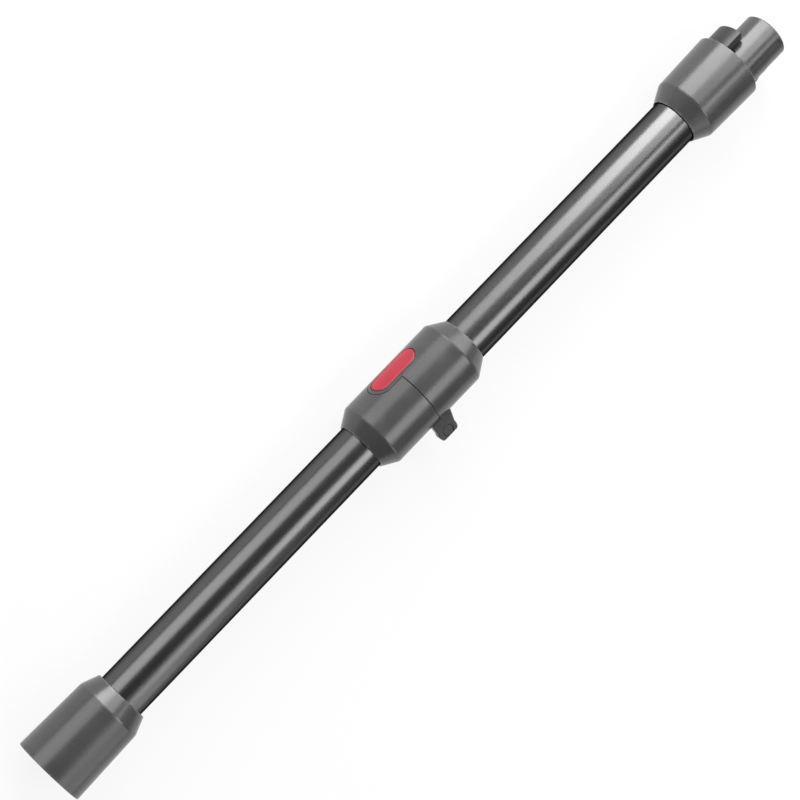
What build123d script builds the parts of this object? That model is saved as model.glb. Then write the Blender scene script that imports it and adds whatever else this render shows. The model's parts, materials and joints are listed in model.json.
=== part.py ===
from build123d import *
import os
from math import asin, atan2, cos, degrees, hypot, radians, sin, tan

# Folding vacuum wand, in millimetres.
# Working frame: X runs along the wand towards the cleaning head, Z points to the fold button
# and Y is the direction of the hinge pin. The fold faces meet at x = 0.
# The finished pieces are rolled about X and set down as the wand lies on a floor.

# Clearances, per side
seat_fit = 0.05
press_fit = 0.03
end_gap = 0.1
latch_gap = 0.4
overcut = 1.0

# Tubes
tube_r = 18.25
tube_wall = 1.0
tube_fit = 0.08
lower_tube_show = 236.0
upper_tube_show = 223.1
tube_stop = 31.0

# Fold collar
collar_r = 26.4
face_x = 0.15
airway_r = 14.0
lower_barrel_len = 40.4
lower_cone_len = 11.6
lower_neck_r = 19.5
upper_barrel_len = 40.6
upper_cone_len = 12.1
upper_neck_r = 18.95
neck_lead = 0.8
neck_bevel = 0.25
shoulder_bevel = 0.6
face_bevel = 0.3

# Seal between the fold faces
seal_in_r = 14.7
seal_out_r = 16.1
seal_depth = 1.8
seal_fit = 0.05

# Hinge on the side away from the button
hinge_r = 32.0
hinge_half_width = 17.5
hinge_tip = 4.7
hinge_bevel = 0.8
lug_inner_y = 12.3
lug_disc_r = 8.2
lug_corner = 2.2
lug_root = 11.6
lug_front = 7.6
lug_front_top = 19.6
lug_clear = 0.3
relief_clear = 0.45
lug_anchor = 18.5
web_start = 2.0
knuckle_half_width = 12.0
knuckle_disc_r = 5.2
knuckle_corner = 0.9
knuckle_root = 7.0
pin_r = 2.5
pin_fit = 0.05
cap_r = 4.3
cap_seat_r = 4.6
cap_seat_depth = 1.5
cap_thick = 1.2
cap_bevel = 0.3

# Button, tongue and latch
button_len = 40.0
button_width = 16.6
button_gap = 0.45
button_proud = 0.15
button_flange = 0.9
button_flange_thick = 1.0
button_wall = 1.6
button_roof = 2.2
button_rib = 3.0
tongue_margin = 2.9
tongue_root = 2.0
tongue_half_width = 10.7
tongue_gap = 0.45
tongue_bottom = 17.2
latch_floor = 16.7
latch_skin = 22.4
cavity_margin = 1.2
cavity_half_width = 9.6
lever_bottom = 18.7
lever_top = 20.9
lever_half_width = 6.5
hook_half_width = 4.2
hook_play = 0.35
hook_len = 2.4
hook_lead = 0.9
hook_nose = 1.0
hook_top = 22.5
lever_margin = 2.0
catch_lip = 21.3
catch_wall = 2.0
catch_depth = 4.4
catch_top = 23.6
pivot_margin = 4.5
pivot_z = 18.9
pivot_r = 1.1
pivot_half_len = 12.0
pivot_eye_r = 2.0
spring_foot = 3.0
spring_bend = 8.0
spring_tip = 14.1
spring_tip_len = 1.0
spring_thick = 0.3
spring_half_width = 3.0
spring_fit = 0.03

# Head socket
socket_neck_len = 12.6
socket_body_len = 56.7
socket_neck_r = 20.6
socket_shoulder_r = 25.55
socket_mouth_r = 27.05
socket_bore_r = 18.1
socket_depth = 38.0
socket_tube_depth = 19.5
socket_lead_in = 0.8
socket_catch_x = 16.5
socket_catch_len = 9.5
socket_catch_half_width = 6.5
socket_catch_depth = 1.2

# Machine end
machine_neck_len = 12.7
machine_body_len = 46.4
machine_neck_r = 19.4
machine_shoulder_r = 25.9
machine_front_r = 27.05
front_bevel = 0.4
machine_tube_depth = 19.0
spigot_offset = 5.15
spigot_r = 17.75
spigot_band = 0.2
spigot_band_len = 19.7
spigot_bore_r = 15.6
spigot_len = 39.5
spigot_seat = 10.0
spigot_tip_bevel = 1.2
spigot_inner_bevel = 0.5
groove_width = 4.2
groove_depth = 0.6
groove_stop = 3.0
spigot_turn = 15.0
core_r = 1.0
key_len = 6.6
key_angle = 25.0
key_width = 3.8
key_depth = 1.1
catch_start = 8.0
catch_len = 7.0
catch_rise = 1.0
catch_lean = 0.6
catch_flat = 2.2
catch_half_width = 6.0

# Electrical plug beside the spigot, and its pocket in the head socket
plug_r = 23.7
plug_inner_r = 19.75
plug_half_angle = 31.5
plug_len = 16.6
plug_fit = 0.1
plug_round = 0.8
plug_bevel = 0.5
pocket_r = 24.1
pocket_inner_r = 19.35
pocket_half_angle = 32.5
pocket_depth = 17.0
contact_y = 7.1
contact_z = 17.9
contact_pin_r = 1.1
contact_sleeve_r = 1.9
contact_sleeve_bore = 1.45
contact_pin_len = 9.0
contact_pin_bevel = 0.5
contact_inset = 0.8
contact_bore_len = 26.0
contact_tail = 5.5

# Contacts and leads at the fold
joint_contact_r = 21.2
joint_contact_angle = 52.0
joint_pin_r = 1.5
joint_pad_r = 2.4
joint_pad_thick = 1.2
joint_tail = 6.0
strip_thick = 0.8
strip_width = 2.4
strip_room = 0.3
strip_bend = 13.0
strip_end = 4.0
lead_r = 1.0
lead_ring_r = 15.4
conduit_r = 1.5
conduit_fit = 0.1

# Hollows in the mouldings, where the contact strips run
chamber_wall = 2.5
chamber_r = 23.4
chamber_y = 12.8
chamber_inner_r = 17.6
chamber_end_angle = 78.0
socket_chamber_inner_r = 20.2
machine_chamber_inner_r = 21.0

# Stations along the wand
lower_neck_x = lower_barrel_len + lower_cone_len
socket_neck_x = lower_neck_x + lower_tube_show
socket_shoulder_x = socket_neck_x + socket_neck_len
mouth_x = socket_shoulder_x + socket_body_len
bore_floor_x = mouth_x - socket_depth
pocket_floor_x = mouth_x - pocket_depth
lower_tube_end_x = socket_neck_x + socket_tube_depth
upper_neck_x = -upper_barrel_len - upper_cone_len
machine_neck_x = upper_neck_x - upper_tube_show
machine_shoulder_x = machine_neck_x - machine_neck_len
front_x = machine_shoulder_x - machine_body_len
spigot_tip_x = front_x - spigot_len
spigot_root_x = front_x + spigot_seat
plug_tip_x = front_x - plug_len
upper_tube_end_x = machine_neck_x - machine_tube_depth

tube_seat_r = tube_r + tube_fit
tube_bore_r = tube_r - tube_wall
hinge_z = -hinge_r
tip_r = hinge_r + hinge_tip
pin_half_len = hinge_half_width - cap_seat_depth
tongue_len = button_len / 2 + tongue_margin
cavity_half_len = button_len / 2 + cavity_margin
pivot_x = pivot_margin - button_len / 2
lever_end_x = button_len / 2 - lever_margin
notch_x = tongue_len + tongue_gap
hook_x = notch_x + catch_wall + hook_play
contact_r = hypot(contact_y, contact_z)
contact_angle = degrees(atan2(contact_y, contact_z))


def turned(*corners):
    # A solid of revolution about the wand's axis from corners (x, radius) or (x, radius, bevel).
    outline = make_face(Polyline(*[corner[:2] for corner in corners], close=True))
    for corner in corners:
        if len(corner) == 3:
            vertex = outline.vertices().sort_by_distance((corner[0], corner[1], 0))[0]
            outline = chamfer(vertex, corner[2])
    return revolve(outline, axis=Axis.X)


def rod_x(x0, x1, radius, y=0.0, z=0.0):
    return Pos((x0 + x1) / 2, y, z) * Rot(0, 90, 0) * Cylinder(radius, abs(x1 - x0))


def rod_y(y0, y1, radius, x=0.0, z=0.0):
    return Pos(x, (y0 + y1) / 2, z) * Rot(90, 0, 0) * Cylinder(radius, abs(y1 - y0))


def block(x0, x1, half_width, z0, z1):
    return Pos((x0 + x1) / 2, 0, (z0 + z1) / 2) * Box(abs(x1 - x0), 2 * half_width, abs(z1 - z0))


def slot_prism(length, width, z0, z1):
    return extrude(Plane.XY.offset(z0) * SlotOverall(length, width), z1 - z0)


def side_prism(outline, y0, y1):
    # Extrudes an outline drawn in X and Z between two values of Y.
    return Pos(0, y1, 0) * extrude(Plane.XZ * outline, y1 - y0)


def polygon(*points):
    return make_face(Polyline(*points, close=True))


def both_sides(shape):
    return shape + mirror(shape, about=Plane.XZ)


def plug_section(outer_r, inner_r, half_angle, rounding):
    # The curved plug between the wand's own radius and a ring round the spigot.
    reach = 2 * outer_r
    wide = reach * sin(radians(half_angle))
    high = reach * cos(radians(half_angle))
    wedge = polygon((0, 0), (wide, high), (wide, reach), (-wide, reach), (-wide, high))
    section = (Circle(outer_r) - Pos(0, -spigot_offset) * Circle(inner_r)) & wedge
    return fillet(section.vertices(), rounding)


def at_angle(shape, angle):
    # Turns a shape drawn above the axis to its angle from the button, on both sides of the wand.
    return both_sides(Rot(-angle, 0, 0) * shape)


def slanted(start, end, radius):
    line = Line(start, end)
    return extrude(Plane(origin=line @ 0, z_dir=line % 0) * Circle(radius), line.length)


def bent_strip(start_x, end_x, start_r, bend_len, room):
    # A flat strip from a contact to the end of a lead: along, inwards, along.
    way = 1 if end_x > start_x else -1
    last_x = end_x - way * strip_end
    points = [(start_x, start_r), (last_x - way * bend_len, start_r), (last_x, lead_ring_r)]
    route = Polyline(*points, (end_x, lead_ring_r))
    face = trace(route, strip_thick + 2 * room)
    half = strip_width / 2 + room
    return side_prism(face, -half, half)


def fold_strips(way, room=0.0):
    end_x = way * (tube_stop + strip_end)
    strip = bent_strip(way * joint_tail, end_x, joint_contact_r, strip_bend, room)
    return at_angle(strip, joint_contact_angle)


def far_strips(way, room=0.0):
    if way > 0:
        start_x = pocket_floor_x - contact_tail
        end_x = lower_tube_end_x - strip_end
    else:
        start_x = spigot_root_x + contact_tail
        end_x = upper_tube_end_x + strip_end
    return at_angle(bent_strip(start_x, end_x, contact_r, strip_bend / 2, room), contact_angle)


def leads(way, radius):
    # Straight runs inside a tube, from the strip at the fold to the strip at the far end.
    fold_x = way * (tube_stop + strip_end)
    far_x = lower_tube_end_x - strip_end if way > 0 else upper_tube_end_x + strip_end
    near = radians(joint_contact_angle)
    far = radians(contact_angle)
    start = (fold_x, lead_ring_r * sin(near), lead_ring_r * cos(near))
    end = (far_x, lead_ring_r * sin(far), lead_ring_r * cos(far))
    return both_sides(slanted(start, end, radius))


def slanted_passage(tube_x, bore_x):
    # The airway's step from the tube's axis to the offset axis of the end fitting.
    middle = (tube_x + bore_x) / 2
    reach = bore_x - tube_x
    start = (middle - reach, 0, spigot_offset / 2)
    end = (middle + reach, 0, -1.5 * spigot_offset)
    inside = rod_x(min(tube_x, bore_x), max(tube_x, bore_x), tube_r + spigot_offset)
    return slanted(start, end, airway_r) & inside


def side_chambers(way):
    # The fold collar's hollows, one on each side of the latch.
    end = radians(chamber_end_angle)
    reach = 2 * chamber_r
    wedge = polygon(
        (chamber_y, reach),
        (chamber_y, chamber_y / tan(end)),
        (reach, reach / tan(end)),
    )
    section = (Circle(chamber_r) - Circle(chamber_inner_r)) & wedge
    depth = tube_stop - 2 * chamber_wall
    return both_sides(extrude(Plane.YZ.offset(way * chamber_wall) * section, way * depth))


def end_chamber(x0, x1, inner_r):
    # The hollow behind an end's electrical contacts.
    section = plug_section(chamber_r, inner_r, chamber_end_angle, plug_round)
    return extrude(Plane.YZ.offset(x0) * section, x1 - x0)


def hinge_outline(disc_r, root, way, corner):
    # A knuckle round the pin with a web to its own half, cut flat at the tip.
    web = polygon(
        (way * face_x, -lug_anchor),
        (way * face_x, hinge_z),
        (way * disc_r, hinge_z),
        (way * disc_r, hinge_z + web_start),
        (way * root, -lug_anchor),
    )
    outline = Pos(0, hinge_z) * Circle(disc_r) + web
    outline -= Pos(0, -tip_r - hinge_r / 2) * Rectangle(2 * hinge_r, hinge_r)
    tip = outline.vertices().group_by(Axis.Y)[0]
    return fillet(tip, corner)


def make_upper_housing():
    shell = turned(
        (-face_x, airway_r),
        (-face_x, collar_r, face_bevel),
        (-upper_barrel_len, collar_r, shoulder_bevel),
        (upper_neck_x, upper_neck_r),
        (upper_neck_x, tube_seat_r),
        (-tube_stop, tube_seat_r),
        (-tube_stop, airway_r),
    )
    prism = slot_prism(2 * tongue_len, 2 * tongue_half_width, tongue_bottom, 2 * collar_r)
    shell += prism & rod_x(-tongue_root, tongue_len + overcut, collar_r)
    lug_face = hinge_outline(lug_disc_r, lug_root, -1, lug_corner)
    front_high = hinge_r - lug_front_top
    lug_face += Pos(0, front_high / 2 - hinge_r) * Rectangle(2 * lug_front, front_high)
    lug = side_prism(lug_face, lug_inner_y, hinge_half_width)
    lug = chamfer(lug.edges().group_by(Axis.Y)[-1], hinge_bevel)
    lug -= rod_y(0, hinge_half_width, pin_r + pin_fit, 0, hinge_z)
    lug -= rod_y(pin_half_len, hinge_half_width + overcut, cap_seat_r, 0, hinge_z)
    shell += both_sides(lug)
    shell -= slot_prism(2 * cavity_half_len, 2 * cavity_half_width, latch_floor, latch_skin)
    window = (button_len + 2 * button_gap, button_width + 2 * button_gap)
    shell -= slot_prism(*window, latch_skin - overcut, 2 * collar_r)
    slot_half = hook_half_width + latch_gap
    shell -= block(lever_end_x - overcut, tongue_len + overcut, slot_half, latch_floor, catch_lip)
    pivot_reach = pivot_half_len + end_gap
    shell -= rod_y(-pivot_reach, pivot_reach, pivot_r + press_fit, pivot_x, pivot_z)
    shell -= side_chambers(-1)
    pin_hole = rod_x(-joint_tail, overcut, joint_pin_r + seat_fit, 0, joint_contact_r)
    shell -= at_angle(pin_hole, joint_contact_angle)
    return shell - fold_strips(-1, strip_room)


def make_lower_housing():
    shell = turned(
        (face_x, airway_r),
        (face_x, seal_in_r - seal_fit),
        (face_x + seal_depth, seal_in_r - seal_fit),
        (face_x + seal_depth, seal_out_r + seal_fit),
        (face_x, seal_out_r + seal_fit),
        (face_x, collar_r, face_bevel),
        (lower_barrel_len, collar_r, shoulder_bevel),
        (lower_neck_x, lower_neck_r),
        (lower_neck_x, tube_seat_r, neck_lead),
        (tube_stop, tube_seat_r),
        (tube_stop, airway_r),
    )
    knuckle_face = hinge_outline(knuckle_disc_r, knuckle_root, 1, knuckle_corner)
    knuckle = side_prism(knuckle_face, -knuckle_half_width, knuckle_half_width)
    shell += knuckle - rod_y(-pin_half_len, pin_half_len, pin_r + pin_fit, 0, hinge_z)
    relief_r = hypot(lug_front, hinge_r - lug_front_top) + relief_clear
    relief_end = hinge_half_width + lug_clear
    shell -= both_sides(rod_y(knuckle_half_width, relief_end, relief_r, 0, hinge_z))
    notch = (2 * notch_x, 2 * (tongue_half_width + tongue_gap))
    shell -= slot_prism(*notch, latch_floor, 2 * collar_r)
    wall_end = notch_x + catch_wall
    slot_half = hook_half_width + latch_gap
    shell -= block(notch_x - overcut, wall_end + overcut, slot_half, latch_floor, catch_lip)
    shell -= block(wall_end, wall_end + catch_depth, slot_half, latch_floor, catch_top)
    shell -= side_chambers(1)
    pad_seat = rod_x(0, face_x + joint_pad_thick, joint_pad_r + seat_fit, 0, joint_contact_r)
    pad_seat += rod_x(0, joint_tail, joint_pin_r + seat_fit, 0, joint_contact_r)
    shell -= at_angle(pad_seat, joint_contact_angle)
    return shell - fold_strips(1, strip_room)


def make_button():
    body = slot_prism(button_len, button_width, lever_top, 2 * collar_r)
    body &= rod_x(-button_len, button_len, collar_r + button_proud)
    flange_size = (button_len + 2 * button_flange, button_width + 2 * button_flange)
    body += slot_prism(*flange_size, lever_top, lever_top + button_flange_thick)
    hollow_size = (button_len - 2 * button_wall, button_width - 2 * button_wall)
    hollow = slot_prism(*hollow_size, lever_top - overcut, collar_r - button_roof)
    return body - (hollow - block(-button_rib / 2, button_rib / 2, button_width, 0, collar_r))


def make_lever():
    arm = polygon(
        (pivot_x, lever_bottom),
        (lever_end_x, lever_bottom),
        (lever_end_x, lever_top),
        (pivot_x, lever_top),
    )
    lever = side_prism(arm + Pos(pivot_x, pivot_z) * Circle(pivot_eye_r), -lever_half_width, lever_half_width)
    hook = polygon(
        (lever_end_x - lever_margin, lever_bottom),
        (hook_x + hook_len, lever_bottom),
        (hook_x + hook_len, hook_top - hook_nose),
        (hook_x + hook_lead, hook_top),
        (hook_x, hook_top),
        (hook_x, lever_top),
        (lever_end_x - lever_margin, lever_top),
    )
    lever += side_prism(hook, -hook_half_width, hook_half_width)
    return lever - rod_y(-pivot_half_len, pivot_half_len, pivot_r + pin_fit, pivot_x, pivot_z)


def make_spring():
    # A leaf that lies on the cavity's floor and bears under the lever.
    low = latch_floor + spring_fit + spring_thick / 2
    high = lever_bottom - spring_fit - spring_thick / 2
    route = Polyline(
        (pivot_x + spring_foot, low),
        (pivot_x + spring_bend, low),
        (pivot_x + spring_tip, high),
        (pivot_x + spring_tip + spring_tip_len, high),
    )
    return side_prism(trace(route, spring_thick), -spring_half_width, spring_half_width)


def make_socket():
    cup = turned(
        (socket_neck_x, tube_seat_r, neck_lead),
        (socket_neck_x, socket_neck_r, neck_bevel),
        (socket_shoulder_x, socket_shoulder_r, shoulder_bevel),
        (mouth_x, socket_mouth_r),
        (mouth_x, core_r),
        (lower_tube_end_x + end_gap, core_r),
        (lower_tube_end_x + end_gap, tube_seat_r),
    )
    cup -= slanted_passage(lower_tube_end_x, bore_floor_x + overcut / 2)
    cup -= rod_x(bore_floor_x, mouth_x + overcut, socket_bore_r, 0, -spigot_offset)
    lead_in = Cone(socket_bore_r, socket_bore_r + socket_lead_in, socket_lead_in)
    cup -= Pos(mouth_x - socket_lead_in / 2, 0, -spigot_offset) * Rot(0, 90, 0) * lead_in
    pocket = plug_section(pocket_r, pocket_inner_r, pocket_half_angle, plug_round)
    cup -= extrude(Plane.YZ.offset(pocket_floor_x) * pocket, 2 * pocket_depth)
    catch_x = mouth_x - socket_catch_x
    deep = -spigot_offset - socket_bore_r - socket_catch_depth
    cup -= block(catch_x, catch_x + socket_catch_len, socket_catch_half_width, deep, -socket_bore_r)
    chamber_x = lower_tube_end_x + chamber_wall
    cup -= end_chamber(chamber_x, pocket_floor_x - chamber_wall, socket_chamber_inner_r)
    pin_hole = rod_x(pocket_floor_x - contact_tail, mouth_x, contact_pin_r + press_fit, 0, contact_r)
    cup -= at_angle(pin_hole, contact_angle)
    return cup - far_strips(1, strip_room)


def make_machine_collar():
    collar = turned(
        (machine_neck_x, tube_seat_r, neck_lead),
        (machine_neck_x, machine_neck_r),
        (machine_shoulder_x, machine_shoulder_r, shoulder_bevel),
        (front_x, machine_front_r, front_bevel),
        (front_x, core_r),
        (upper_tube_end_x - end_gap, core_r),
        (upper_tube_end_x - end_gap, tube_seat_r),
    )
    collar -= slanted_passage(upper_tube_end_x, spigot_root_x - overcut / 2)
    seat_r = spigot_r + spigot_band + seat_fit
    collar -= rod_x(front_x - overcut, spigot_root_x, seat_r, 0, -spigot_offset)
    hole_angle = plug_half_angle + degrees(plug_fit / plug_inner_r)
    hole = plug_section(plug_r + plug_fit, plug_inner_r - plug_fit, hole_angle, plug_round)
    collar -= extrude(Plane.YZ.offset(front_x - overcut) * hole, spigot_seat + overcut)
    chamber_x = spigot_root_x + chamber_wall
    collar -= end_chamber(chamber_x, upper_tube_end_x - chamber_wall, machine_chamber_inner_r)
    sleeve_hole = rod_x(front_x, spigot_root_x + contact_tail, contact_sleeve_r + seat_fit, 0, contact_r)
    collar -= at_angle(sleeve_hole, contact_angle)
    return collar - far_strips(-1, strip_room)


def make_spigot():
    band_x = front_x - spigot_band_len
    band_r = spigot_r + spigot_band
    spigot = turned(
        (spigot_root_x, spigot_bore_r),
        (spigot_root_x, band_r),
        (band_x, band_r),
        (band_x, spigot_r),
        (spigot_tip_x, spigot_r, spigot_tip_bevel),
        (spigot_tip_x, spigot_bore_r, spigot_inner_bevel),
    )
    spigot = Rot(spigot_turn, 0, 0) * spigot
    groove_x = (front_x + spigot_tip_x + groove_stop) / 2
    groove = Box(spigot_len - groove_stop, 2 * groove_depth, groove_width)
    spigot -= both_sides(Pos(groove_x, spigot_r, 0) * groove)
    key = Pos(front_x - key_len / 2, 0, spigot_r) * Box(key_len, key_width, 2 * key_depth)
    spigot -= both_sides(Rot(-key_angle, 0, 0) * key)
    step_x = front_x - catch_start
    ramp_x = step_x - catch_len
    catch = polygon(
        (step_x, -spigot_r + overcut),
        (step_x, -band_r),
        (step_x - catch_lean, -band_r - catch_rise),
        (step_x - catch_flat, -band_r - catch_rise),
        (ramp_x, -spigot_r),
        (ramp_x, -spigot_r + overcut),
    )
    spigot += side_prism(catch, -catch_half_width, catch_half_width)
    return Pos(0, 0, -spigot_offset) * spigot


def make_plug():
    section = plug_section(plug_r, plug_inner_r, plug_half_angle, plug_round)
    plug = extrude(Plane.YZ.offset(plug_tip_x) * section, spigot_root_x - plug_tip_x)
    plug = chamfer(plug.edges().group_by(Axis.X)[0], plug_bevel)
    sleeve_hole = rod_x(plug_tip_x - overcut, spigot_root_x + overcut, contact_sleeve_r + press_fit, 0, contact_r)
    return plug - at_angle(sleeve_hole, contact_angle)


def make_sleeves():
    sleeve = rod_x(plug_tip_x + contact_inset, spigot_root_x + contact_tail, contact_sleeve_r, 0, contact_r)
    sleeve -= rod_x(plug_tip_x, plug_tip_x + contact_bore_len, contact_sleeve_bore, 0, contact_r)
    return at_angle(sleeve, contact_angle) + far_strips(-1)


def make_socket_pins():
    pin_tip_x = pocket_floor_x + contact_pin_len
    pin = rod_x(pocket_floor_x - contact_tail, pin_tip_x, contact_pin_r, 0, contact_r)
    pin = chamfer(pin.edges().group_by(Axis.X)[-1], contact_pin_bevel)
    return at_angle(pin, contact_angle) + far_strips(1)


def make_joint_pads():
    pad = rod_x(face_x, face_x + joint_pad_thick, joint_pad_r, 0, joint_contact_r)
    pad += rod_x(face_x, joint_tail, joint_pin_r, 0, joint_contact_r)
    return at_angle(pad, joint_contact_angle) + fold_strips(1)


def make_joint_pins():
    pin = rod_x(-joint_tail, face_x, joint_pin_r, 0, joint_contact_r)
    return at_angle(pin, joint_contact_angle) + fold_strips(-1)


def make_pin_caps():
    cap = rod_y(pin_half_len, pin_half_len + cap_thick, cap_r, 0, hinge_z)
    return both_sides(chamfer(cap.edges().group_by(Axis.Y)[-1], cap_bevel))


def tube(x0, x1):
    return rod_x(x0, x1, tube_r) - rod_x(x0 - overcut, x1 + overcut, tube_bore_r)


def make_seal():
    seal = rod_x(-face_x, face_x + seal_depth, seal_out_r)
    return seal - rod_x(-overcut, face_x + seal_depth + overcut, seal_in_r)


pieces = {
    "upper_hinge_housing": make_upper_housing(),
    "upper_tube": tube(upper_tube_end_x, -tube_stop - end_gap),
    "machine_collar": make_machine_collar(),
    "machine_spigot": make_spigot(),
    "connector_block": make_plug(),
    "connector_contacts": make_sleeves(),
    "hinge_pin": rod_y(-pin_half_len, pin_half_len, pin_r, 0, hinge_z),
    "hinge_pin_caps": make_pin_caps(),
    "fold_latch_pin": rod_y(-pivot_half_len, pivot_half_len, pivot_r, pivot_x, pivot_z),
    "fold_latch_spring": make_spring(),
    "upper_joint_contacts": make_joint_pins(),
    "upper_wires": leads(-1, lead_r),
    "upper_wire_ducts": leads(-1, conduit_r) - leads(-1, lead_r + conduit_fit),
    "fold_button": make_button(),
    "fold_latch_lever": make_lever(),
    "lower_hinge_housing": make_lower_housing(),
    "lower_tube": tube(tube_stop + end_gap, lower_tube_end_x),
    "head_socket": make_socket(),
    "joint_seal": make_seal(),
    "lower_joint_contacts": make_joint_pads(),
    "head_socket_contacts": make_socket_pins(),
    "lower_wires": leads(1, lead_r),
    "lower_wire_ducts": leads(1, conduit_r) - leads(1, lead_r + conduit_fit),
}

# Lying on a floor: the mouth of the cup, the front rim of the machine collar and one corner of the
# hinge all touch it. The lean is the angle of the button's direction above level.
tip_in = tip_r - hinge_bevel
rest_r = max(machine_front_r, socket_mouth_r)
lean = asin(rest_r / hypot(tip_in, hinge_half_width)) - atan2(hinge_half_width, tip_in)
roll = 90.0 - degrees(lean)
laid = Compound(children=[Rot(roll, 0, 0) * piece for piece in pieces.values()])
box = laid.bounding_box()
shift = (-(box.min.X + box.max.X) / 2, -(box.min.Y + box.max.Y) / 2, -box.min.Z)
place = Pos(*shift) * Rot(roll, 0, 0)

os.makedirs("parts", exist_ok=True)
for name, piece in pieces.items():
    export_step(place * piece, f"parts/{name}.step")

print("roll", round(roll, 4), "shift", [round(value, 4) for value in shift])
print("size", [round(value, 3) for value in box.size])
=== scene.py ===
import json
from math import cos, pi, radians, sin, sqrt, tan

import bmesh
import bpy
from mathutils import Matrix, Vector


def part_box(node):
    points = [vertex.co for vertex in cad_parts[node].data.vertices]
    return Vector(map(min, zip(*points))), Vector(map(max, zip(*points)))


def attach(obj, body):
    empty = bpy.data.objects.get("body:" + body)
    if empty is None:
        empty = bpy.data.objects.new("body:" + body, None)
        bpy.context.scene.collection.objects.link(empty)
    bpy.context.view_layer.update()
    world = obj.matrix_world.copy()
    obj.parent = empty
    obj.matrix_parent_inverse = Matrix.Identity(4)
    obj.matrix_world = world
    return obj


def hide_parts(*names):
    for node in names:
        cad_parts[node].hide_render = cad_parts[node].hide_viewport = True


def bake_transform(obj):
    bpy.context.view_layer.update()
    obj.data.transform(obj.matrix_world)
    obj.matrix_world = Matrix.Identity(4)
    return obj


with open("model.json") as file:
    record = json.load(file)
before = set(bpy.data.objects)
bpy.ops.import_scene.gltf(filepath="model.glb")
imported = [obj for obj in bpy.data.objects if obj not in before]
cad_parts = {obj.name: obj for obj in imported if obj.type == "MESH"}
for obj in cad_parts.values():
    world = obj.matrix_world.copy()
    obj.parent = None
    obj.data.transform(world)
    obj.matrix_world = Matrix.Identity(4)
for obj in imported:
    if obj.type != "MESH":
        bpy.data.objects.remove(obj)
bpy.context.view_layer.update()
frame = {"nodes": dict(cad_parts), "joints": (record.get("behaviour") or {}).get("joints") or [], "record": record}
nodes = frame["nodes"]
record = frame["record"]
scene = bpy.context.scene

# The wand's own directions: along to the head, across along the hinge pin, out through the button
foldJoint = next(joint for joint in frame["joints"] if joint["name"] == "fold")
along = Vector((1, 0, 0))
across = Vector(foldJoint["axis"]).normalized()
outward = along.cross(across)
tubeLow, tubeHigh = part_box("upper_tube")
axisMiddle = (tubeLow + tubeHigh) / 2
foldPoint = Vector((foldJoint["pos_m"][0], axisMiddle.y, axisMiddle.z))
wandFrame = Matrix((along, across, outward)).transposed().to_4x4()
wandFrame.translation = foldPoint


# Shader helpers

def addNode(tree, kind, **values):
    node = tree.nodes.new(kind)
    for name, value in values.items():
        setattr(node, name, value)
    return node


def feed(tree, node, socket, value):
    target = node.inputs[socket]
    if isinstance(value, bpy.types.NodeSocket):
        tree.links.new(value, target)
    else:
        target.default_value = value


def mathNode(tree, operation, first, second=0.0, clamp=False):
    node = addNode(tree, "ShaderNodeMath", operation=operation, use_clamp=clamp)
    feed(tree, node, 0, first)
    feed(tree, node, 1, second)
    return node.outputs[0]


def spread(tree, value, low, high, fromLow=0.0, fromHigh=1.0):
    node = addNode(tree, "ShaderNodeMapRange")
    for socket, number in zip(range(5), (value, fromLow, fromHigh, low, high)):
        feed(tree, node, socket, number)
    return node.outputs[0]


def mixColours(tree, factor, first, second):
    # Inputs 6 and 7 and output 2 are the node's colour ones
    node = addNode(tree, "ShaderNodeMix", data_type="RGBA")
    feed(tree, node, 0, factor)
    feed(tree, node, 6, first)
    feed(tree, node, 7, second)
    return node.outputs[2]


def noiseAt(tree, coordinates, scale, detail=2.0, rough=0.5):
    node = addNode(tree, "ShaderNodeTexNoise")
    feed(tree, node, "Vector", coordinates)
    feed(tree, node, "Scale", scale)
    feed(tree, node, "Detail", detail)
    feed(tree, node, "Roughness", rough)
    return node.outputs["Fac"]


def newGroup(name, inputs, outputs):
    tree = bpy.data.node_groups.new(name, "ShaderNodeTree")
    for label, kind in inputs:
        tree.interface.new_socket(label, in_out="INPUT", socket_type=kind)
    for label in outputs:
        tree.interface.new_socket(label, in_out="OUTPUT", socket_type="NodeSocketFloat")
    return tree, addNode(tree, "NodeGroupInput"), addNode(tree, "NodeGroupOutput")


def useGroup(tree, group, **values):
    node = addNode(tree, "ShaderNodeGroup", node_tree=group)
    for label, value in values.items():
        feed(tree, node, label, value)
    return node


def buildMouldGrain():
    # Fine eroded grain of a mould, with slow mottling of the melt
    inputs = [
        ("Place", "NodeSocketVector"),
        ("Grain", "NodeSocketFloat"),
        ("Mottle", "NodeSocketFloat"),
    ]
    tree, start, end = newGroup("mouldGrain", inputs, ["Height", "Cloud"])
    place = start.outputs["Place"]
    fine = noiseAt(tree, place, start.outputs["Grain"], detail=3.0, rough=0.65)
    cloud = noiseAt(tree, place, start.outputs["Mottle"], detail=4.0, rough=0.6)
    feed(tree, end, "Height", fine)
    feed(tree, end, "Cloud", spread(tree, cloud, 0.0, 1.0, fromLow=0.3, fromHigh=0.7))
    return tree


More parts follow.
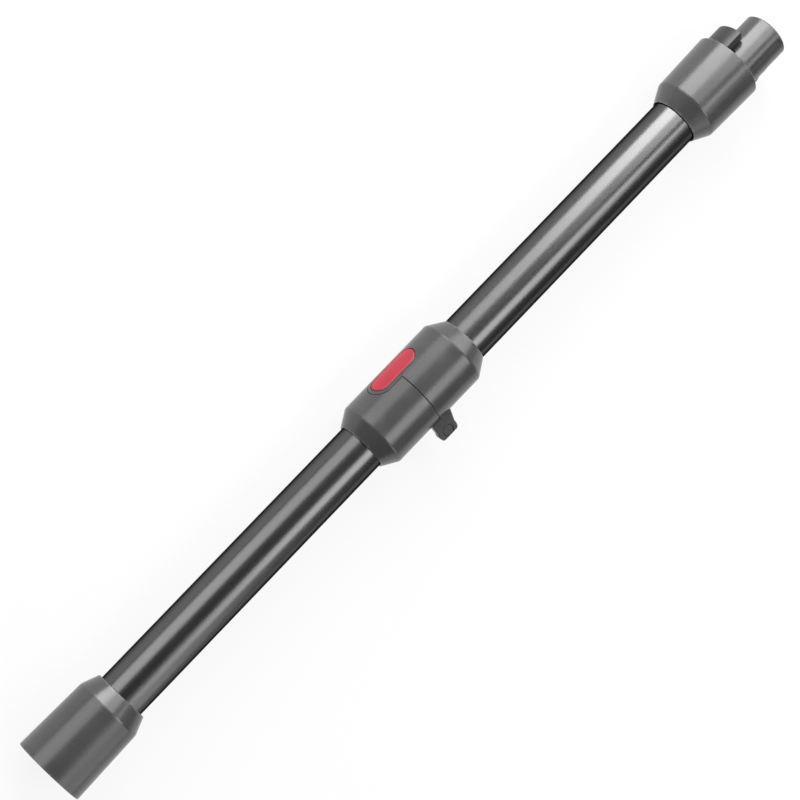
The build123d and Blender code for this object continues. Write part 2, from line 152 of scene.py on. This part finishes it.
def buildRimRub():
    # Polished, broken wear in a band round the wand at one station along it
    inputs = [
        ("Place", "NodeSocketVector"),
        ("Station", "NodeSocketFloat"),
        ("Width", "NodeSocketFloat"),
    ]
    tree, start, end = newGroup("rimRub", inputs, ["Mask"])
    split = addNode(tree, "ShaderNodeSeparateXYZ")
    feed(tree, split, 0, start.outputs["Place"])
    away = mathNode(tree, "SUBTRACT", split.outputs["X"], start.outputs["Station"])
    near = mathNode(tree, "DIVIDE", mathNode(tree, "ABSOLUTE", away), start.outputs["Width"])
    band = mathNode(tree, "SUBTRACT", 1.0, near, clamp=True)
    patches = noiseAt(tree, start.outputs["Place"], scale=260.0, detail=4.0, rough=0.7)
    patchy = spread(tree, patches, 0.0, 1.0, fromLow=0.42, fromHigh=0.66)
    feed(tree, end, "Mask", mathNode(tree, "MULTIPLY", band, patchy))
    return tree


def buildDrawnLines():
    # Fine lines along the wand, as a drawn tube or wire has
    inputs = [("Place", "NodeSocketVector"), ("Fineness", "NodeSocketFloat")]
    tree, start, end = newGroup("drawnLines", inputs, ["Lines", "Haze"])
    stretch = addNode(tree, "ShaderNodeMapping", vector_type="TEXTURE")
    feed(tree, stretch, "Vector", start.outputs["Place"])
    feed(tree, stretch, "Scale", (60.0, 1.0, 1.0))
    lines = noiseAt(tree, stretch.outputs[0], start.outputs["Fineness"], detail=2.0, rough=0.6)
    haze = noiseAt(tree, start.outputs["Place"], scale=34.0, detail=3.0, rough=0.55)
    feed(tree, end, "Lines", spread(tree, lines, 0.0, 1.0, fromLow=0.25, fromHigh=0.75))
    feed(tree, end, "Haze", spread(tree, haze, 0.0, 1.0, fromLow=0.3, fromHigh=0.7))
    return tree


mouldGrain = buildMouldGrain()
rimRub = buildRimRub()
drawnLines = buildDrawnLines()


def startMaterial(name):
    material = bpy.data.materials.new(name)
    material.use_nodes = True
    tree = material.node_tree
    place = addNode(tree, "ShaderNodeTexCoord").outputs["Object"]
    return material, tree, tree.nodes["Principled BSDF"], place


def addBump(tree, shader, height, strength, distance):
    bump = addNode(tree, "ShaderNodeBump")
    feed(tree, bump, "Strength", strength)
    feed(tree, bump, "Distance", distance)
    feed(tree, bump, "Height", height)
    feed(tree, shader, "Normal", bump.outputs[0])


def mouldedPlastic(name, finish):
    material, tree, shader, place = startMaterial(name)
    grain = useGroup(tree, mouldGrain, Place=place, Grain=finish["grain"], Mottle=finish["mottle"])
    cloud = grain.outputs["Cloud"]
    colour = mixColours(tree, cloud, (*finish["dark"], 1), (*finish["light"], 1))
    rough = spread(tree, cloud, *finish["rough"])
    worn = None
    for station in finish.get("rims", []):
        band = useGroup(tree, rimRub, Place=place, Station=station, Width=finish["rubWidth"])
        rub = band.outputs["Mask"]
        worn = rub if worn is None else mathNode(tree, "MAXIMUM", worn, rub)
    if worn is not None:
        colour = mixColours(tree, worn, colour, (*finish["rubbed"], 1))
        rough = mathNode(tree, "SUBTRACT", rough, mathNode(tree, "MULTIPLY", worn, finish["polish"]))
    feed(tree, shader, "Base Color", colour)
    feed(tree, shader, "Roughness", rough)
    feed(tree, shader, "IOR", finish.get("ior", 1.5))
    addBump(tree, shader, grain.outputs["Height"], finish["bump"], finish["bumpDepth"])
    return material


def drawnMetal(name, finish):
    material, tree, shader, place = startMaterial(name)
    drawn = useGroup(tree, drawnLines, Place=place, Fineness=finish["fineness"])
    colour = mixColours(tree, drawn.outputs["Lines"], (*finish["dark"], 1), (*finish["light"], 1))
    smooth = mathNode(tree, "ADD", drawn.outputs["Haze"], drawn.outputs["Lines"])
    feed(tree, shader, "Base Color", colour)
    feed(tree, shader, "Roughness", spread(tree, smooth, *finish["rough"], 0.0, 2.0))
    feed(tree, shader, "Metallic", 1.0)
    feed(tree, shader, "Specular Tint", (*finish["edge"], 1))
    addBump(tree, shader, drawn.outputs["Lines"], finish["bump"], finish["bumpDepth"])
    return material


# Where the mouldings are handled and knocked, along the wand
cupLow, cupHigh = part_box("head_socket")
collarLow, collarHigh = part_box("machine_collar")
lowerLow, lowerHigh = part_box("lower_hinge_housing")
upperLow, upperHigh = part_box("upper_hinge_housing")

housingFinish = {
    "dark": (0.046, 0.0465, 0.048),
    "light": (0.054, 0.0545, 0.056),
    "grain": 2600.0,
    "mottle": 38.0,
    "rough": (0.24, 0.30),
    "bump": 0.10,
    "bumpDepth": 0.00006,
    "rims": [cupHigh.x, cupLow.x, collarLow.x, collarHigh.x, lowerHigh.x, upperLow.x],
    "ior": 1.56,
    "rubWidth": 0.0016,
    "rubbed": (0.13, 0.13, 0.135),
    "polish": 0.10,
}
buttonFinish = {
    "dark": (0.335, 0.009, 0.025),
    "light": (0.385, 0.012, 0.031),
    "grain": 3000.0,
    "mottle": 90.0,
    "rough": (0.34, 0.44),
    "bump": 0.08,
    "bumpDepth": 0.00005,
}
latchFinish = {
    "dark": (0.022, 0.022, 0.024),
    "light": (0.03, 0.03, 0.032),
    "grain": 2200.0,
    "mottle": 120.0,
    "rough": (0.40, 0.52),
    "bump": 0.12,
    "bumpDepth": 0.00006,
}
plugFinish = {
    "dark": (0.016, 0.016, 0.017),
    "light": (0.022, 0.022, 0.024),
    "grain": 2400.0,
    "mottle": 70.0,
    "rough": (0.34, 0.44),
    "bump": 0.10,
    "bumpDepth": 0.00006,
}
ductFinish = {
    "dark": (0.035, 0.035, 0.037),
    "light": (0.05, 0.05, 0.052),
    "grain": 1800.0,
    "mottle": 60.0,
    "rough": (0.42, 0.55),
    "bump": 0.10,
    "bumpDepth": 0.00006,
}
leadFinish = {
    "dark": (0.02, 0.02, 0.021),
    "light": (0.032, 0.032, 0.033),
    "grain": 1500.0,
    "mottle": 45.0,
    "rough": (0.30, 0.42),
    "bump": 0.08,
    "bumpDepth": 0.00005,
}
rubberFinish = {
    "dark": (0.014, 0.014, 0.014),
    "light": (0.03, 0.03, 0.03),
    "grain": 3500.0,
    "mottle": 140.0,
    "rough": (0.62, 0.78),
    "bump": 0.22,
    "bumpDepth": 0.00008,
}
tubeFinish = {
    "dark": (0.108, 0.108, 0.109),
    "light": (0.121, 0.121, 0.122),
    "edge": (0.15, 0.15, 0.15),
    "fineness": 2600.0,
    "rough": (0.25, 0.29),
    "bump": 0.012,
    "bumpDepth": 0.00002,
}
steelFinish = {
    "dark": (0.52, 0.52, 0.53),
    "light": (0.66, 0.66, 0.67),
    "edge": (1.0, 1.0, 1.0),
    "fineness": 4200.0,
    "rough": (0.22, 0.36),
    "bump": 0.06,
    "bumpDepth": 0.00002,
}
brassFinish = {
    "dark": (0.70, 0.50, 0.20),
    "light": (0.82, 0.63, 0.30),
    "edge": (1.0, 0.95, 0.8),
    "fineness": 4200.0,
    "rough": (0.18, 0.30),
    "bump": 0.05,
    "bumpDepth": 0.00002,
}
finishes = {
    "housing_plastic": mouldedPlastic("satinGreyMoulding", housingFinish),
    "tube_metal": drawnMetal("darkAnodisedTube", tubeFinish),
    "button_red": mouldedPlastic("redMoulding", buttonFinish),
    "latch_plastic": mouldedPlastic("blackLatchMoulding", latchFinish),
    "plug_plastic": mouldedPlastic("plugMoulding", plugFinish),
    "duct_plastic": mouldedPlastic("ductMoulding", ductFinish),
    "pin_steel": drawnMetal("turnedSteel", steelFinish),
    "contact_brass": drawnMetal("platedBrass", brassFinish),
    "seal_rubber": mouldedPlastic("sealRubber", rubberFinish),
    "lead_cover": mouldedPlastic("leadCover", leadFinish),
}
print("finishes:", ", ".join(finishes))


# CAD nodes keep their own meshes and take their finishes

def dressNode(node, slotName):
    data = nodes[node].data
    data.materials.clear()
    data.materials.append(finishes[slotName])


slotOf = {part["node"]: part["material_slot"] for part in record["subparts"]}
for node, slotName in slotOf.items():
    dressNode(node, slotName)
print("dressed:", len(slotOf), "nodes")


def wandPoints(node):
    # A node's points in the wand's own directions, from the fold
    toWand = wandFrame.inverted()
    return [toWand @ vertex.co for vertex in nodes[node].data.vertices]


def wandCorners(node):
    points = wandPoints(node)
    low = Vector([min(point[axis] for point in points) for axis in range(3)])
    high = Vector([max(point[axis] for point in points) for axis in range(3)])
    return low, high


def addPiece(name, mesh, body, slotName, replaced):
    mesh.materials.clear()
    mesh.materials.append(finishes[slotName])
    piece = bpy.data.objects.new(name, mesh)
    scene.collection.objects.link(piece)
    if body:  # a piece that bends between two bodies rides on neither
        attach(piece, body)
    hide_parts(replaced)
    return piece


sharpAngle = radians(40)


def bridge(mesh, rings):
    # Faces between neighbouring closed rings of points
    count = len(rings[0])
    for lower, higher in zip(rings, rings[1:]):
        for index in range(count):
            after = (index + 1) % count
            mesh.faces.new((lower[index], lower[after], higher[after], higher[index]))


def placeMesh(name, mesh):
    # A mesh drawn in the wand's own directions goes to its place, faces outwards
    bmesh.ops.recalc_face_normals(mesh, faces=mesh.faces)
    mesh.transform(wandFrame)
    data = bpy.data.meshes.new(name)
    mesh.to_mesh(data)
    mesh.free()
    data.shade_smooth()
    data.set_sharp_from_angle(angle=sharpAngle)
    return data


# Fold button: a stadium whose top follows the barrel, with a rounded rim

buttonSettings = {
    "flange": 0.0009,     # the hidden lip that keeps it in its window
    "flangeHigh": 0.001,
    "rim": 0.0009,
    "rimSteps": 6,
    "endSteps": 28,
    "sideSteps": 36,
    "topRings": 7,
}


def stadium(halfLength, halfWidth, endSteps, sideSteps):
    # Points round the outline, from the middle of one long side
    reach = halfLength - halfWidth
    points = []
    for step in range(sideSteps):
        points.append((reach - 2 * reach * step / sideSteps, halfWidth))
    for step in range(endSteps):
        angle = pi / 2 + pi * step / endSteps
        points.append((-reach + halfWidth * cos(angle), halfWidth * sin(angle)))
    for step in range(sideSteps):
        points.append((-reach + 2 * reach * step / sideSteps, -halfWidth))
    for step in range(endSteps):
        angle = -pi / 2 + pi * step / endSteps
        points.append((reach + halfWidth * cos(angle), halfWidth * sin(angle)))
    return points


def makeButton(settings):
    low, high = wandCorners("fold_button")
    flange = settings["flange"]
    halfLength = (high.x - low.x) / 2 - flange
    halfWidth = (high.y - low.y) / 2 - flange
    middle = (low.x + high.x) / 2
    crown = high.z
    rim = settings["rim"]
    sideSteps = settings["sideSteps"]
    endSteps = settings["endSteps"]
    mesh = bmesh.new()

    def ring(inset, height):
        outline = stadium(halfLength - inset, halfWidth - inset, endSteps, sideSteps)
        return [mesh.verts.new((middle + x, y, height(y))) for x, y in outline]

    def onBarrel(drop):
        return lambda y: sqrt(crown * crown - y * y) - drop

    rings = [
        ring(-flange, lambda y: low.z),
        ring(-flange, lambda y: low.z + settings["flangeHigh"]),
        ring(0.0, lambda y: low.z + settings["flangeHigh"]),
    ]
    for step in range(settings["rimSteps"] + 1):
        angle = pi / 2 * step / settings["rimSteps"]
        rings.append(ring(rim * (1 - cos(angle)), onBarrel(rim * (1 - sin(angle)))))
    inner = halfWidth - rim
    for step in range(1, settings["topRings"]):
        rings.append(ring(rim + inner * step / settings["topRings"], onBarrel(0.0)))
    bridge(mesh, rings)
    mesh.faces.new(rings[0][::-1])
    top = rings[-1]
    near = top[:sideSteps + 1]
    far = top[sideSteps + endSteps:2 * sideSteps + endSteps + 1][::-1]
    for index in range(sideSteps):
        mesh.faces.new((near[index], near[index + 1], far[index + 1], far[index]))
    mesh.faces.new(top[sideSteps:sideSteps + endSteps + 1])
    mesh.faces.new(top[2 * sideSteps + endSteps:] + top[:1])
    data = placeMesh("foldButton", mesh)
    return addPiece("foldButton", data, "fold_latch", "button_red", "fold_button")


foldButton = makeButton(buttonSettings)
print("button:", len(foldButton.data.polygons), "faces")


# Leaf spring under the latch: held at its foot, meeting the lever at its tip

springSettings = {
    "thick": 0.0003,
    "bendShare": 0.41,    # where the leaf leaves the floor, as a share of its length
    "tipShare": 0.92,     # where it meets the lever
    "steps": 48,
}


def makeLatchSpring(settings):
    low, high = wandCorners("fold_latch_spring")
    half = settings["thick"] / 2
    length = high.x - low.x
    bend = low.x + length * settings["bendShare"]
    tip = low.x + length * settings["tipShare"]
    floorLine = low.z + half
    rise = high.z - low.z - 2 * half
    mesh = bmesh.new()
    loops = []
    for step in range(settings["steps"] + 1):
        station = low.x + length * step / settings["steps"]
        share = min(max((station - bend) / (tip - bend), 0.0), 1.0)
        line = floorLine + rise * share * share * (3 - 2 * share)
        corners = ((low.y, -half), (high.y, -half), (high.y, half), (low.y, half))
        loops.append([mesh.verts.new((station, side, line + lift)) for side, lift in corners])
    bridge(mesh, loops)
    mesh.faces.new(loops[0][::-1])
    mesh.faces.new(loops[-1])
    data = placeMesh("latchSpring", mesh)
    piece = addPiece("latchSpring", data, None, "pin_steel", "fold_latch_spring")
    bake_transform(piece)
    return piece


latchSpring = makeLatchSpring(springSettings)
print("spring:", len(latchSpring.data.polygons), "faces")


# Seal of the fold joint: a soft ring with two lips, swept round by Geometry Nodes

sealSettings = {
    "ringSteps": 120,
    "profileSteps": 40,
    "lipDip": 0.22,       # how far the groove between the lips is pulled in
    "squareness": 0.62,
}


def buildLippedRing():
    tree = bpy.data.node_groups.new("lippedRing", "GeometryNodeTree")
    for label, kind in (
        ("Radius", "NodeSocketFloat"), ("Half Wall", "NodeSocketFloat"),
        ("Half Depth", "NodeSocketFloat"), ("Ring Steps", "NodeSocketInt"),
        ("Profile Steps", "NodeSocketInt"), ("Lip Dip", "NodeSocketFloat"),
        ("Squareness", "NodeSocketFloat"), ("Material", "NodeSocketMaterial"),
    ):
        tree.interface.new_socket(label, in_out="INPUT", socket_type=kind)
    tree.interface.new_socket("Geometry", in_out="OUTPUT", socket_type="NodeSocketGeometry")
    start = addNode(tree, "NodeGroupInput").outputs
    end = addNode(tree, "NodeGroupOutput")
    path = addNode(tree, "GeometryNodeCurvePrimitiveCircle", mode="RADIUS")
    feed(tree, path, "Resolution", start["Ring Steps"])
    feed(tree, path, "Radius", start["Radius"])
    profile = addNode(tree, "GeometryNodeCurvePrimitiveCircle", mode="RADIUS")
    feed(tree, profile, "Resolution", start["Profile Steps"])
    feed(tree, profile, "Radius", 1.0)
    place = addNode(tree, "ShaderNodeSeparateXYZ")
    feed(tree, place, 0, addNode(tree, "GeometryNodeInputPosition").outputs[0])

    def squared(value):
        strength = mathNode(tree, "POWER", mathNode(tree, "ABSOLUTE", value), start["Squareness"])
        return mathNode(tree, "MULTIPLY", strength, mathNode(tree, "SIGN", value))

    wallPart = squared(place.outputs["X"])
    depthPart = squared(place.outputs["Y"])
    ripple = mathNode(tree, "COSINE", mathNode(tree, "MULTIPLY", wallPart, pi))
    dip = mathNode(tree, "MULTIPLY", mathNode(tree, "ADD", ripple, 1.0), start["Lip Dip"])
    keep = mathNode(tree, "SUBTRACT", 1.0, mathNode(tree, "MULTIPLY", dip, 0.5))
    shaped = addNode(tree, "ShaderNodeCombineXYZ")
    feed(tree, shaped, "X", mathNode(tree, "MULTIPLY", wallPart, start["Half Wall"]))
    lipped = mathNode(tree, "MULTIPLY", depthPart, keep)
    feed(tree, shaped, "Y", mathNode(tree, "MULTIPLY", lipped, start["Half Depth"]))
    lips = addNode(tree, "GeometryNodeSetPosition")
    feed(tree, lips, "Geometry", profile.outputs["Curve"])
    feed(tree, lips, "Position", shaped.outputs[0])
    sweep = addNode(tree, "GeometryNodeCurveToMesh")
    feed(tree, sweep, "Curve", path.outputs["Curve"])
    feed(tree, sweep, "Profile Curve", lips.outputs[0])
    smooth = addNode(tree, "GeometryNodeSetShadeSmooth")
    feed(tree, smooth, "Geometry", sweep.outputs[0])
    real = addNode(tree, "GeometryNodeRealizeInstances")
    feed(tree, real, 0, smooth.outputs[0])
    paint = addNode(tree, "GeometryNodeSetMaterial")
    feed(tree, paint, "Geometry", real.outputs[0])
    feed(tree, paint, "Material", start["Material"])
    feed(tree, end, 0, paint.outputs[0])
    return tree


def evaluateTree(name, tree, values):
    holder = bpy.data.objects.new(name + "Holder", bpy.data.meshes.new(name + "Holder"))
    scene.collection.objects.link(holder)
    modifier = holder.modifiers.new(name, "NODES")
    modifier.node_group = tree
    for item in tree.interface.items_tree:
        if item.in_out == "INPUT" and item.name in values:
            modifier[item.identifier] = values[item.name]
    depsgraph = bpy.context.evaluated_depsgraph_get()
    mesh = bpy.data.meshes.new_from_object(holder.evaluated_get(depsgraph))
    mesh.name = name
    bpy.data.objects.remove(holder)
    return mesh


def makeSeal(settings):
    low, high = wandCorners("joint_seal")
    points = wandPoints("joint_seal")
    radii = [sqrt(point.y * point.y + point.z * point.z) for point in points]
    halfWall = (max(radii) - min(radii)) / 2
    mesh = evaluateTree("jointSeal", buildLippedRing(), {
        "Radius": min(radii) + halfWall,
        "Half Wall": halfWall,
        "Half Depth": (high.x - low.x) / 2,
        "Ring Steps": settings["ringSteps"],
        "Profile Steps": settings["profileSteps"],
        "Lip Dip": settings["lipDip"],
        "Squareness": settings["squareness"],
        "Material": finishes["seal_rubber"],
    })
    upright = Matrix.Rotation(pi / 2, 4, "Y")
    mesh.transform(wandFrame @ Matrix.Translation(((low.x + high.x) / 2, 0, 0)) @ upright)
    return addPiece("jointSeal", mesh, "lower_section", "seal_rubber", "joint_seal")


jointSeal = makeSeal(sealSettings)
print("seal:", len(jointSeal.data.polygons), "faces")


# Studio

cameraSettings = {
    "facing": 54.5,       # from the button's direction round to the hinge pin's
    "tilt": 9.8,          # towards the cup
    "turn": 46.1,         # the wand's slope in the picture
    "distance": 1.542,
    "lens": 99.42,
    "sensor": 36.0,
    "aimAlong": 0.0177,
    "aimUp": 0.003,
    "clipEnd": 30.0,
}


def addCamera(settings):
    facing = radians(settings["facing"])
    tilt = radians(settings["tilt"])
    turn = radians(settings["turn"])
    towards = outward * cos(facing) + across * sin(facing)
    upper = outward * sin(facing) - across * cos(facing)
    run = towards * sin(tilt) - along * cos(tilt)
    right = run * cos(turn) - upper * sin(turn)
    up = run * sin(turn) + upper * cos(turn)
    back = right.cross(up)
    aim = Vector((settings["aimAlong"], axisMiddle.y, axisMiddle.z)) + upper * settings["aimUp"]
    data = bpy.data.cameras.new("photoCamera")
    data.lens = settings["lens"]
    data.sensor_width = settings["sensor"]
    data.clip_end = settings["clipEnd"]
    camera = bpy.data.objects.new("photoCamera", data)
    scene.collection.objects.link(camera)
    place = Matrix((right, up, back)).transposed().to_4x4()
    place.translation = aim + back * settings["distance"]
    camera.matrix_world = place
    scene.camera = camera
    return towards, upper


towards, upper = addCamera(cameraSettings)

# Soft boxes round the wand: their angles are from the camera's side, positive towards the button,
# and their reaches are along the wand
boxDistance = 2.4
boxSettings = {
    "buttonCupBox": {"angles": (20, 63), "reach": (-0.10, 0.80), "glow": 3.0},
    "buttonMidBox": {"angles": (20, 63), "reach": (-0.95, -0.10), "glow": 1.9},
    "buttonFarBox": {"angles": (16, 66), "reach": (-1.30, -0.95), "glow": 8.5},
    "buttonEndBox": {"angles": (16, 66), "reach": (-1.95, -1.30), "glow": 12.5},
    "overheadFarBox": {"angles": (-20, 16), "reach": (-1.95, -1.15), "glow": 7.5},
    "hingeCupBox": {"angles": (-104, -42), "reach": (0.10, 0.90), "glow": 1.8},
    "hingeMidBox": {"angles": (-62, -32), "reach": (-0.95, 0.10), "glow": 4.2},
    "hingeFarBox": {"angles": (-49, -38), "reach": (-1.80, -0.95), "glow": 5.0},
}
endSettings = {
    "angle": 0.0,
    "height": 0.65,
    "along": -2.3,
    "width": 2.0,
    "depth": 0.5,
    "glow": 5.5,
}


def addBox(name, place, facingDir, longDir, length, width, glow):
    data = bpy.data.lights.new(name, "AREA")
    data.shape = "RECTANGLE"
    data.size = length
    data.size_y = width
    data.energy = glow * pi * length * width
    lamp = bpy.data.objects.new(name, data)
    scene.collection.objects.link(lamp)
    away = -facingDir.normalized()
    side = (longDir - away * longDir.dot(away)).normalized()
    turned = Matrix((side, away.cross(side), away)).transposed().to_4x4()
    turned.translation = place
    lamp.matrix_world = turned


def aroundWand(angle, distance, station):
    direction = towards * cos(radians(angle)) + upper * sin(radians(angle))
    return Vector((station, axisMiddle.y, axisMiddle.z)) + direction * distance


def addBoxes(boxes, end):
    for name, box in boxes.items():
        first, last = box["angles"]
        near, far = box["reach"]
        place = aroundWand((first + last) / 2, boxDistance, (near + far) / 2)
        aim = Vector((place.x, axisMiddle.y, axisMiddle.z))
        width = 2 * boxDistance * tan(radians(last - first) / 2)
        addBox(name, place, aim - place, along, far - near, width, box["glow"])
    place = aroundWand(end["angle"], end["height"], end["along"])
    addBox("endBox", place, foldPoint - place, upper, end["width"], end["depth"], end["glow"])


addBoxes(boxSettings, endSettings)

stageSettings = {
    "floorHalf": 6.0,
    "floorColour": 0.82,
    "floorGlow": 0.86,
    "ambient": 0.13,
}


def seenDirectly(tree):
    # One for camera, glossy and transmission rays, so that the white surround also shows in gloss
    path = addNode(tree, "ShaderNodeLightPath")
    seen = mathNode(tree, "MAXIMUM", path.outputs["Is Camera Ray"], path.outputs["Is Glossy Ray"])
    return mathNode(tree, "MAXIMUM", seen, path.outputs["Is Transmission Ray"])


def addFloor(settings):
    half = settings["floorHalf"]
    mesh = bpy.data.meshes.new("floor")
    corners = [(-half, -half, 0), (half, -half, 0), (half, half, 0), (-half, half, 0)]
    mesh.from_pydata(corners, [], [(0, 1, 2, 3)])
    material = bpy.data.materials.new("paleFloor")
    material.use_nodes = True
    tree = material.node_tree
    tree.nodes.remove(tree.nodes["Principled BSDF"])
    matt = addNode(tree, "ShaderNodeBsdfDiffuse")
    feed(tree, matt, "Color", (settings["floorColour"],) * 3 + (1,))
    glow = addNode(tree, "ShaderNodeEmission")
    mix = addNode(tree, "ShaderNodeMixShader")
    feed(tree, mix, 0, mathNode(tree, "MULTIPLY", seenDirectly(tree), settings["floorGlow"]))
    feed(tree, mix, 1, matt.outputs[0])
    feed(tree, mix, 2, glow.outputs[0])
    tree.links.new(mix.outputs[0], tree.nodes["Material Output"].inputs[0])
    mesh.materials.append(material)
    floor = bpy.data.objects.new("floor", mesh)
    scene.collection.objects.link(floor)


def addWorld(settings):
    world = bpy.data.worlds.new("studioSurround")
    world.use_nodes = True
    tree = world.node_tree
    sky = tree.nodes["Background"]
    feed(tree, sky, "Color", (1, 1, 1, 1))
    feed(tree, sky, "Strength", settings["ambient"])
    scene.world = world


addFloor(stageSettings)
addWorld(stageSettings)
scene.view_settings.view_transform = "Standard"
print("studio: camera, lamps, floor and surround")
